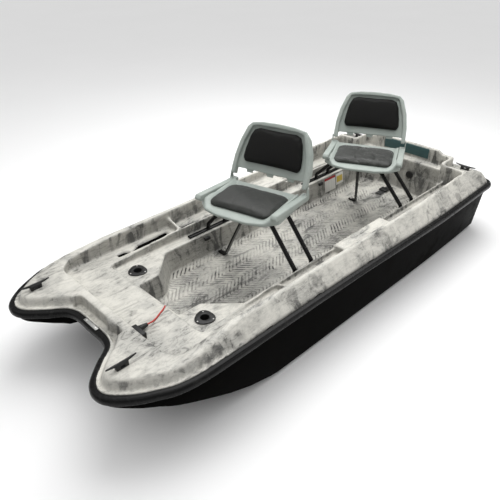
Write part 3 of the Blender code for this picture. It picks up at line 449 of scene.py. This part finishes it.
# Painted shade: upright faces below the coaming tops are painted darker, as walls in shade under the overhead
# light.
painted_wall_shade = (1 - nz.rise(0.25, 0.75)) * (1 - z.rise(0.40, 0.50)) * 0.62
# Painted shade: the bottoms of the rod troughs in the side trays are painted dark, as if in shadow.
painted_trough_shade = (1 - z.rise(0.351, 0.364)) * abs(x).rise(0.412, 0.428) * (1 - y.rise(1.20, 1.25)) * 0.72
shaded = marbled.mix(painted_trough_shade, treaded, (0.085, 0.084, 0.080))
stroke = marbled.cloud(11, 4, 0.58, 0.9, (1.0, 0.8, 0.42), (0.5, 0, 0), (3, 1, 2)).rise(0.60, 0.67)
outer_wall = (1 - lying) * abs(x).rise(0.48, 0.51) * z.rise(0.38, 0.40)
stroked = marbled.mix(stroke * outer_wall * 0.80, shaded, (0.070, 0.069, 0.065))
walled = marbled.mix(painted_wall_shade * (0.62 + wisps * 0.38), stroked, (0.105, 0.104, 0.099))
marbled.paint("Base Color", walled)
marbled.paint("Roughness", 0.42 + wisps * 0.16)
marbled.relief(groove * -1.0 + marbled.cloud(300, 2) * 0.10 + marbled.cloud(26, 2) * 0.18, 0.0030, 0.9)
add("marbled_deck", deck, marbled, stands_for=("deck_liner",), sharp=180)

# ---------------------------------------------------------------- rub rail
# A heavy extruded vinyl bumper runs round the joint of hull and deck. It is charcoal grey,
# satin, with rounded shoulders, a fine lengthwise grain and pale rubs on its outer edge.
rail_vinyl = Finish("charcoal_vinyl", roughness=0.33, specular=0.14)
rub = rail_vinyl.cloud(24, 6, 0.65, 0.3).rise(0.52, 0.72)
rail_vinyl.paint("Base Color", rail_vinyl.mix(rub, (0.0050, 0.0050, 0.0049), (0.0150, 0.0147, 0.0142)))
rail_vinyl.paint("Roughness", 0.27 + rub * 0.25)
rail_vinyl.relief(rail_vinyl.cloud(180, 3), 0.0005)
add("vinyl_rub_rail", softened("rub_rail", 0.006, 24, 3), rail_vinyl, stands_for=("rub_rail",), sharp=50)

# ---------------------------------------------------------------- bow plate, cleats and sockets
# Small deck fittings: a folded bow plate, four moulded nylon cleats held by two screws each,
# two three-cornered rod cups, and the moulded socket for the motor's plug.
brushed = Finish("brushed_alloy", roughness=0.4, metallic=1.0)
brush_marks = brushed.cloud(60, 4, 0.5, 0, (1, 8, 1))
brushed.paint("Base Color", brushed.mix(brush_marks, (0.30, 0.30, 0.29), (0.52, 0.52, 0.50)))
brushed.paint("Roughness", 0.30 + brushed.cloud(200, 3, 0.5, 0, (1, 8, 1)) * 0.25)
add("bow_rail_plate", softened("bow_plate", 0.0012, 30), brushed, stands_for=("bow_plate",))
bow_low, bow_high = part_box("bow_plate")


def rounded(node, voxel, times, share=0.5):
    bm = remeshed(cad_copy(node), voxel)
    relax(bm, bm.verts, times, share)
    return bm


def screw_head(name, spot, radius, body="hull", way=(0, 0, 1)):
    """A domed cross-head screw."""
    bm = bmesh.new()
    bmesh.ops.create_uvsphere(bm, u_segments=16, v_segments=8, radius=radius)
    bmesh.ops.bisect_plane(bm, geom=list(bm.verts) + list(bm.edges) + list(bm.faces), plane_co=(0, 0, 0),
                           plane_no=(0, 0, 1), clear_inner=True)
    bmesh.ops.holes_fill(bm, edges=bm.edges)
    for v in bm.verts:
        arm = min(abs(v.co.x), abs(v.co.y))
        dip = 0.5 if arm < radius * 0.14 and v.co.xy.length < radius * 0.6 else 1.0
        v.co.z *= 0.42 * dip
    turn = Vector(way).to_track_quat("Z", "Y").to_matrix().to_4x4()
    bmesh.ops.transform(bm, verts=bm.verts, matrix=Matrix.Translation(Vector(spot)) @ turn)
    bmesh.ops.recalc_face_normals(bm, faces=bm.faces)
    return add(name, bm, zinc, body)


for side in (-1, 1):
    spot = (side * 0.038, (bow_low[1] + bow_high[1]) / 2, bow_high[2] - 0.0006)
    screw_head(f"bow_plate_screw_{side + 2}", spot, 0.006)
for where in ("bow_cleat_port", "bow_cleat_starboard", "stern_cleat_port", "stern_cleat_starboard"):
    add(where + "_moulding", rounded(where, 0.0022, 4), black_nylon, stands_for=(where,), sharp=180)
cup_x, cup_y, cup_screw_circle = 0.288, -0.905, 0.046
for where in ("port", "starboard"):
    node = "rod_holder_" + where
    add("rod_cup_" + where, softened(node, 0.0014, 35), black_nylon, stands_for=(node,))
    low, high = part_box(node)
    side = 1 if where == "port" else -1
    for turn in (30, 150, 270):
        angle = math.radians(turn)
        spot = (side * cup_x + cup_screw_circle * math.cos(angle), cup_y + cup_screw_circle * math.sin(angle),
                high[2] - 0.0006)
        screw_head(f"cup_screw_{where}_{turn}", spot, 0.0045)
for node in ("bow_socket", "strap_buckle", "cable_grommet", "drain_plug", "front_ledge_clip",
             "rear_ledge_clip"):
    add(node + "_moulding", softened(node, 0.0014, 35), black_nylon, stands_for=(node,))

# ---------------------------------------------------------------- transom pads, strap and plates
# Two dark teal pads of ribbed plastic take the motor clamp. A woven black strap lies on the battery
# panel, and two thin vinyl plates, left blank, are stuck to the well's wall.
teal = Finish("teal_pad", roughness=0.45)
tz = teal.axes()[2]
teal.paint("Base Color", teal.mix(teal.cloud(40, 5), (0.026, 0.068, 0.070), (0.045, 0.105, 0.105)))
teal.paint("Roughness", 0.38 + teal.cloud(90) * 0.18)
teal.relief((tz * (2 * math.pi / 0.006)).wave() * 0.5 + teal.cloud(400) * 0.3, 0.0006)
add("clamp_pad_inner", softened("transom_pad", 0.0015, 30), teal, stands_for=("transom_pad",))
add("clamp_pad_outer", softened("transom_outer_pad", 0.0015, 30), teal, stands_for=("transom_outer_pad",))

webbing = Finish("black_webbing", roughness=0.8, sheen=0.2)
wx, wy, _ = webbing.axes()
weave = (wx * (2 * math.pi / 0.0022)).wave() * (wy * (2 * math.pi / 0.0028)).wave()
webbing.paint("Base Color", webbing.mix(weave.rise(-0.6, 0.8), (0.008, 0.008, 0.008), (0.035, 0.035, 0.034)))
webbing.relief(weave, 0.0006)
add("battery_webbing", softened("battery_strap", 0.0012, 30), webbing, stands_for=("battery_strap",))

white_vinyl = Finish("white_vinyl_plate", roughness=0.35)
_, label_y, label_z = white_vinyl.axes()
low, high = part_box("capacity_plate")
red_band = label_z.rise(high[2] - 0.017, high[2] - 0.0165)
below_band = 1 - label_z.rise(high[2] - 0.022, high[2] - 0.020)
columns = (label_y * (2 * math.pi / 0.030)).wave().rise(0.90, 0.99) * below_band
aged = white_vinyl.mix(white_vinyl.cloud(30, 4), (0.78, 0.77, 0.73), (0.66, 0.65, 0.62))
ruled = white_vinyl.mix(columns * 0.35, aged, (0.40, 0.40, 0.39))
white_vinyl.paint("Base Color", white_vinyl.mix(red_band, ruled, (0.36, 0.022, 0.028)))
white_vinyl.relief(white_vinyl.cloud(120), 0.0002)
add("blank_white_plate", softened("capacity_plate", 0.0004, 30), white_vinyl, stands_for=("capacity_plate",))

yellow_vinyl = Finish("yellow_vinyl_plate", roughness=0.35)
_, label_y, label_z = yellow_vinyl.axes()
low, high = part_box("caution_plate")
centre_z, centre_y = (low[2] + high[2]) / 2, (low[1] + high[1]) / 2
inside = (1 - abs(label_z - centre_z).rise(0.024, 0.0245)) * (1 - abs(label_y - centre_y).rise(0.036, 0.0365))
patch = yellow_vinyl.mix(yellow_vinyl.cloud(40, 4), (0.56, 0.40, 0.05), (0.66, 0.50, 0.09))
yellow_vinyl.paint("Base Color", yellow_vinyl.mix(inside, (0.72, 0.71, 0.68), patch))
yellow_vinyl.relief(yellow_vinyl.cloud(120), 0.0002)
add("blank_yellow_plate", softened("caution_plate", 0.0004, 30), yellow_vinyl, stands_for=("caution_plate",))

# ---------------------------------------------------------------- seat frames
# Each seat stands on a powder-coated steel frame: two bent tubes on clamp rails along the ledges,
# a top plate, and one flat leg bolted to the floor. The coat is semi-gloss with a fine peel.
powder = Finish("black_powder_coat", roughness=0.22, specular=0.30)
worn = powder.cloud(38, 6, 0.7).rise(0.60, 0.72)
powder.paint("Base Color", powder.mix(worn, (0.0035, 0.0035, 0.0035), (0.0150, 0.0145, 0.0140)))
powder.paint("Roughness", 0.14 + worn * 0.22 + powder.cloud(120) * 0.08)
powder.relief(powder.cloud(420, 2), 0.0004)
seat_facts = {}
for joint in frame["record"]["behaviour"]["joints"]:
    seat_facts[joint["name"]] = joint


def hex_bolt(name, spot, radius, body="hull"):
    """A washer with a hexagon bolt head on it, its corners turned down."""
    bm = bmesh.new()
    x, y, z = spot
    washer = radius * 1.5
    bmesh.ops.create_cone(bm, cap_ends=True, segments=24, radius1=washer, radius2=washer, depth=0.0016,
                          matrix=Matrix.Translation((x, y, z + 0.0008)))
    bmesh.ops.create_cone(bm, cap_ends=True, segments=6, radius1=radius, radius2=radius, depth=0.005,
                          matrix=Matrix.Translation((x, y, z + 0.0041)))
    top = [e for e in bm.edges if all(v.co.z > z + 0.006 for v in e.verts)]
    bmesh.ops.bevel(bm, geom=top, offset=0.0010, affect="EDGES", segments=2, profile=0.5, material=-1)
    return add(name, bm, zinc, body)


for seat in ("front", "rear"):
    for part in ("frame_rail_port", "frame_rail_starboard", "frame_plate", "frame_leg"):
        node = f"{seat}_{part}"
        add(node + "_steel", softened(node, 0.0015, 25), powder, stands_for=(node,))
    for part in ("frame_tube_fore", "frame_tube_aft"):
        node = f"{seat}_{part}"
        add(node + "_steel", cad_copy(node), powder, stands_for=(node,), sharp=60)
    low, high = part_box(f"{seat}_frame_leg")
    bolt_y = (low[1] + high[1]) / 2 if seat == "front" else high[1] - 0.015
    hex_bolt(f"{seat}_leg_bolt", (low[0] + 0.016, bolt_y, low[2] + 0.0102), 0.0065)

# ---------------------------------------------------------------- fishing seats
# Two folding seats of injection-moulded sage-grey plastic on zinc swivels. The pan is dished up to
# its arms, the back has a raised rim, and both take foam cushions in black vinyl, stitched at the edge.
sage = Finish("sage_plastic", roughness=0.45, specular=0.45)
tone = sage.cloud(7, 3).rise(0.3, 0.7)
sage.paint("Base Color", sage.mix(tone, (0.300, 0.338, 0.312), (0.345, 0.382, 0.352)))
sage.paint("Roughness", 0.38 + sage.cloud(50, 4) * 0.18)
pebble = sage.node("ShaderNodeTexVoronoi", {}, {"Vector": sage.place, "Scale": 620.0})
sage.relief(pebble * 0.5 + sage.cloud(20) * 0.4, 0.0005)


def vinyl(name, dark, light, gloss, crease, specular=0.42):
    leather = Finish(name, roughness=gloss, specular=specular)
    fold = leather.cloud(16, 3, 0.55, 0.8, (1, 2.2, 1)).rise(0.35, 0.70)
    cells = leather.node("ShaderNodeTexVoronoi", {"feature": "DISTANCE_TO_EDGE"},
                         {"Vector": leather.place, "Scale": 420.0})
    leather.paint("Base Color", leather.mix(fold, dark, light))
    leather.paint("Roughness", gloss + fold * 0.12)
    leather.relief(cells.rise(0.0, 0.10) * 0.25 + fold * crease, 0.0016)
    return leather


seat_vinyl = {"front": vinyl("seat_vinyl_front", (0.0150, 0.0165, 0.0142), (0.0260, 0.0278, 0.0245),
                             0.30, 0.25),
              "rear": vinyl("seat_vinyl_rear", (0.022, 0.0235, 0.021), (0.046, 0.048, 0.044), 0.16, 0.5)}
back_vinyl = vinyl("back_vinyl", (0.0018, 0.0018, 0.0014), (0.0036, 0.0036, 0.0030), 0.48, 0.12, 0.20)


def prism(outline, front, back):
    """A plate of the given outline in x and z, between two distances along y."""
    bm = bmesh.new()
    face = bm.faces.new([bm.verts.new((px, front, pz)) for px, pz in outline])
    grown = bmesh.ops.extrude_face_region(bm, geom=[face])["geom"]
    far_side = [g for g in grown if isinstance(g, bmesh.types.BMVert)]
    bmesh.ops.translate(bm, verts=far_side, vec=(0, back - front, 0))
    bmesh.ops.recalc_face_normals(bm, faces=bm.faces)
    return bm


def joined(first, second):
    """Two meshes as one."""
    mesh = bpy.data.meshes.new("joined")
    second.to_mesh(mesh)
    second.free()
    first.from_mesh(mesh)
    bpy.data.meshes.remove(mesh)
    return first


def held_to_base(bm, base_axis, base_level):
    """No point past the board under a cushion: below it for a seat, behind it for a back."""
    sign = 1 if base_axis == 2 else -1
    for v in bm.verts:
        if sign * v.co[base_axis] < sign * base_level:
            v.co[base_axis] = base_level


def puffed(bm, voxel, cap, base_axis, base_level):
    """A cushion blown up a little by cloth pressure, no point moving further than cap."""
    bm = remeshed(bm, voxel)
    rest = [v.co.copy() for v in bm.verts]
    mesh = bpy.data.meshes.new("cushion")
    bm.to_mesh(mesh)
    bm.free()
    holder = bpy.data.objects.new("cushion", mesh)
    bpy.context.scene.collection.objects.link(holder)
    cloth = holder.modifiers.new("cloth", "CLOTH")
    cloth.settings.use_pressure = True
    cloth.settings.uniform_pressure_force = 4.0
    cloth.settings.effector_weights.gravity = 0.0
    cloth.settings.quality = 5
    for number in range(1, 21):
        bpy.context.scene.frame_set(number)
    evaluated = holder.evaluated_get(bpy.context.evaluated_depsgraph_get())
    made = bmesh.new()
    made.from_mesh(evaluated.to_mesh())
    evaluated.to_mesh_clear()
    bpy.data.objects.remove(holder)
    bpy.context.scene.frame_set(1)
    for v, start in zip(made.verts, rest):
        move = v.co - start
        if move.length > cap:
            v.co = start + move.normalized() * cap
    held_to_base(made, base_axis, base_level)
    relax(made, made.verts, 5)
    held_to_base(made, base_axis, base_level)
    return made


recline = math.radians(-24.0)
pan_depth = 0.388
hinge_bolt_x = 0.2555
arch = [(-0.194, 0.276), (-0.168, 0.303), (-0.095, 0.3145), (0.0, 0.3175), (0.095, 0.3145),
        (0.168, 0.303), (0.194, 0.276), (0.170, 0.268), (0.160, 0.284), (0.122, 0.2915),
        (0.0, 0.2935), (-0.122, 0.2915), (-0.160, 0.284), (-0.170, 0.268)]
for seat in ("front", "rear"):
    swivel, fold = seat_facts[f"{seat}_seat_swivel"], seat_facts[f"{seat}_backrest_fold"]
    body, back_body = f"{seat}_seat", f"{seat}_backrest"
    axle = Vector(fold["axis"])
    turn = math.atan2(axle.y, axle.x)
    hinge = Vector(fold["pos_m"])
    centre = Vector(swivel["pos_m"])
    seat_place = Matrix.Translation(centre) @ Matrix.Rotation(turn, 4, "Z")
    back_place = (Matrix.Translation(hinge) @ Matrix.Rotation(turn, 4, "Z")
                  @ Matrix.Rotation(recline, 4, "X"))
    hinge_y = (seat_place.inverted() @ hinge).y
    hinge_z = (seat_place.inverted() @ hinge).z
    front_y = hinge_y - pan_depth

    node = f"{seat}_swivel"
    add(node + "_bearing", softened(node, 0.002, 40), zinc, body, (node,))

    pan = cad_copy(f"{seat}_seat_pan")
    bmesh.ops.transform(pan, verts=pan.verts, matrix=seat_place.inverted())
    pan = remeshed(pan, 0.0036)
    pan.normal_update()
    for v in pan.verts:
        px, py, pz = v.co
        if v.normal.z > 0.5 and 0.040 < pz < 0.052:
            across = step(abs(px), 0.150, 0.216) ** 1.3
            behind = step(py, hinge_y - 0.090, hinge_y - 0.034) ** 1.5
            ahead = 1 - step(py, front_y - 0.034, front_y + 0.010)
            rise = max(0.030 * across * step(py, front_y - 0.02, front_y + 0.06), 0.022 * behind)
            v.co.z += rise - 0.004 * ahead
    relax(pan, pan.verts, 3)
    soft = [v for v in pan.verts if v.co.y < hinge_y - 0.045]
    relax(pan, soft, 9)
    bmesh.ops.transform(pan, verts=pan.verts, matrix=seat_place)
    add(f"{seat}_pan_moulding", pan, sage, body, (f"{seat}_seat_pan",), sharp=180)

    cushion = cad_copy(f"{seat}_seat_cushion")
    bmesh.ops.transform(cushion, verts=cushion.verts, matrix=seat_place.inverted())
    low_z = min(v.co.z for v in cushion.verts)
    middle = Vector((0.0, sum(v.co.y for v in cushion.verts) / len(cushion.verts), low_z))
    for v in cushion.verts:
        v.co = middle + (v.co - middle) * 0.975
    cushion = puffed(cushion, 0.005, 0.010, 2, low_z)
    reach_x = max(abs(v.co.x) for v in cushion.verts)
    near_y, far_y = min(v.co.y for v in cushion.verts), max(v.co.y for v in cushion.verts)
    for v in cushion.verts:
        across = 1 - (v.co.x / reach_x) ** 2
        along = 1 - ((2 * v.co.y - near_y - far_y) / (far_y - near_y)) ** 2
        crown = (max(across, 0.0) * max(along, 0.0)) ** 0.45
        v.co.z = low_z + (v.co.z - low_z) * (0.62 + 0.42 * crown)
        if v.co.z > low_z + 0.012:
            size = 0.0038 if seat == "rear" else 0.0012
            v.co.z += size * noise.noise(v.co * 14 + Vector((3, 0, 7)))
            v.co.z -= size * max(0.0, 1 - abs(noise.noise(v.co * 9)) * 9)
    bmesh.ops.transform(cushion, verts=cushion.verts, matrix=seat_place)
    piece = add(f"{seat}_seat_vinyl", cushion, seat_vinyl[seat], body, (f"{seat}_seat_cushion",), sharp=180)
    puff = piece.modifiers.new("smooth", "SUBSURF")
    puff.levels = puff.render_levels = 1

    shell = cad_copy(f"{seat}_back_shell")
    bmesh.ops.transform(shell, verts=shell.verts, matrix=back_place.inverted())
    shell = remeshed(joined(shell, prism(arch, -0.024, 0.008)), 0.0034)
    relax(shell, shell.verts, 3)
    relax(shell, [v for v in shell.verts if v.co.z > 0.040], 4)
    bmesh.ops.transform(shell, verts=shell.verts, matrix=back_place)
    add(f"{seat}_back_moulding", shell, sage, back_body, (f"{seat}_back_shell",), sharp=180)

    pad = cad_copy(f"{seat}_back_cushion")
    bmesh.ops.transform(pad, verts=pad.verts, matrix=back_place.inverted())
    rear_y = max(v.co.y for v in pad.verts)
    middle = Vector((0.0, rear_y, 0.177))
    for v in pad.verts:
        v.co = middle + (v.co - middle) * 0.995
    pad = puffed(pad, 0.005, 0.008, 1, rear_y)
    reach_x = max(abs(v.co.x) for v in pad.verts)
    low_z, high_z = min(v.co.z for v in pad.verts), max(v.co.z for v in pad.verts)
    for v in pad.verts:
        across = 1 - (v.co.x / reach_x) ** 2
        along = 1 - ((2 * v.co.z - low_z - high_z) / (high_z - low_z)) ** 2
        crown = (max(across, 0.0) * max(along, 0.0)) ** 0.45
        v.co.y = rear_y + (v.co.y - rear_y) * (0.66 + 0.36 * crown)
    bmesh.ops.transform(pad, verts=pad.verts, matrix=back_place)
    piece = add(f"{seat}_back_vinyl", pad, back_vinyl, back_body, (f"{seat}_back_cushion",), sharp=180)
    puff = piece.modifiers.new("smooth", "SUBSURF")
    puff.levels = puff.render_levels = 1

    for side in (-1, 1):
        spot = seat_place @ Vector((side * hinge_bolt_x, hinge_y, hinge_z))
        out = (seat_place.to_3x3() @ Vector((side, 0, 0))).normalized()
        screw_head(f"{seat}_hinge_bolt_{'starboard' if side < 0 else 'port'}", spot, 0.0065, body, out)
